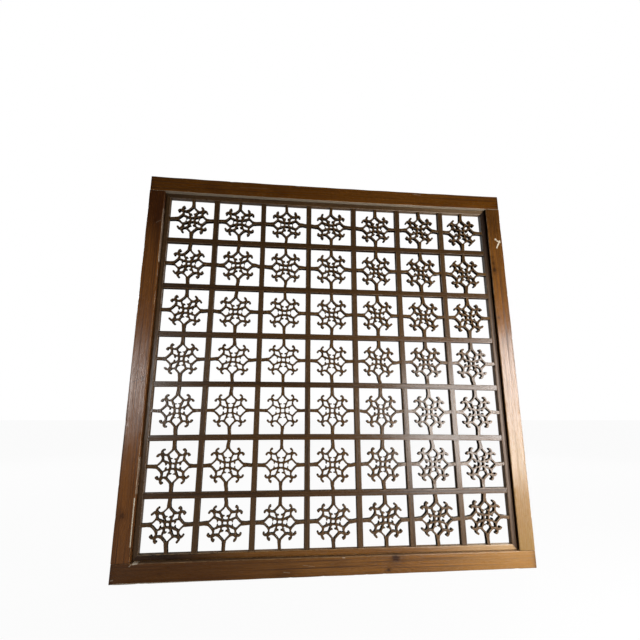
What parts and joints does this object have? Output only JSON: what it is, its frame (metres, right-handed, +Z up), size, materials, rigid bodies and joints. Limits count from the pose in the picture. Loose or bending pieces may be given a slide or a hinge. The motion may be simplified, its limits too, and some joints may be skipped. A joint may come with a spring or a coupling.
{
  "type": "carved lattice screen",
  "caption": "Square wooden lattice panel: a mortised board frame, a mitred inner border and half-lapped bars whose cells each hold a sawn scroll rosette on struts.",
  "frame": {"origin": "middle of the bottom rail's underside: the centre of the panel's footprint where it stands", "axes": "+Z up the panel, +X to the right seen from the front, the carved front faces -Y"},
  "size_m": [0.8128, 0.03, 0.8128],
  "materials": {
    "frame_wood": "stained softwood, worn satin varnish",
    "border_wood": "stained softwood, worn satin varnish, dust in the corners",
    "bar_wood": "stained softwood, worn satin varnish",
    "rosette_wood": "stained, sawn edges darker than the face",
    "pin_wood": "bare"
  },
  "bodies": {
    "root": {"top_rail": "frame_wood", "bottom_rail": "frame_wood", "left_stile": "frame_wood", "right_stile": "frame_wood", "border_top": "border_wood", "border_bottom": "border_wood", "border_left": "border_wood", "border_right": "border_wood", "upright_bar_1": "bar_wood", "upright_bar_2": "bar_wood", "upright_bar_3": "bar_wood", "upright_bar_4": "bar_wood", "upright_bar_5": "bar_wood", "upright_bar_6": "bar_wood", "cross_bar_1": "bar_wood", "cross_bar_2": "bar_wood", "cross_bar_3": "bar_wood", "cross_bar_4": "bar_wood", "cross_bar_5": "bar_wood", "cross_bar_6": "bar_wood", "rosette_row_1": "rosette_wood", "rosette_row_2": "rosette_wood", "rosette_row_3": "rosette_wood", "rosette_row_4": "rosette_wood", "rosette_row_5": "rosette_wood", "rosette_row_6": "rosette_wood", "rosette_row_7": "rosette_wood", "border_pins": "pin_wood"}
  },
  "joints": []
}
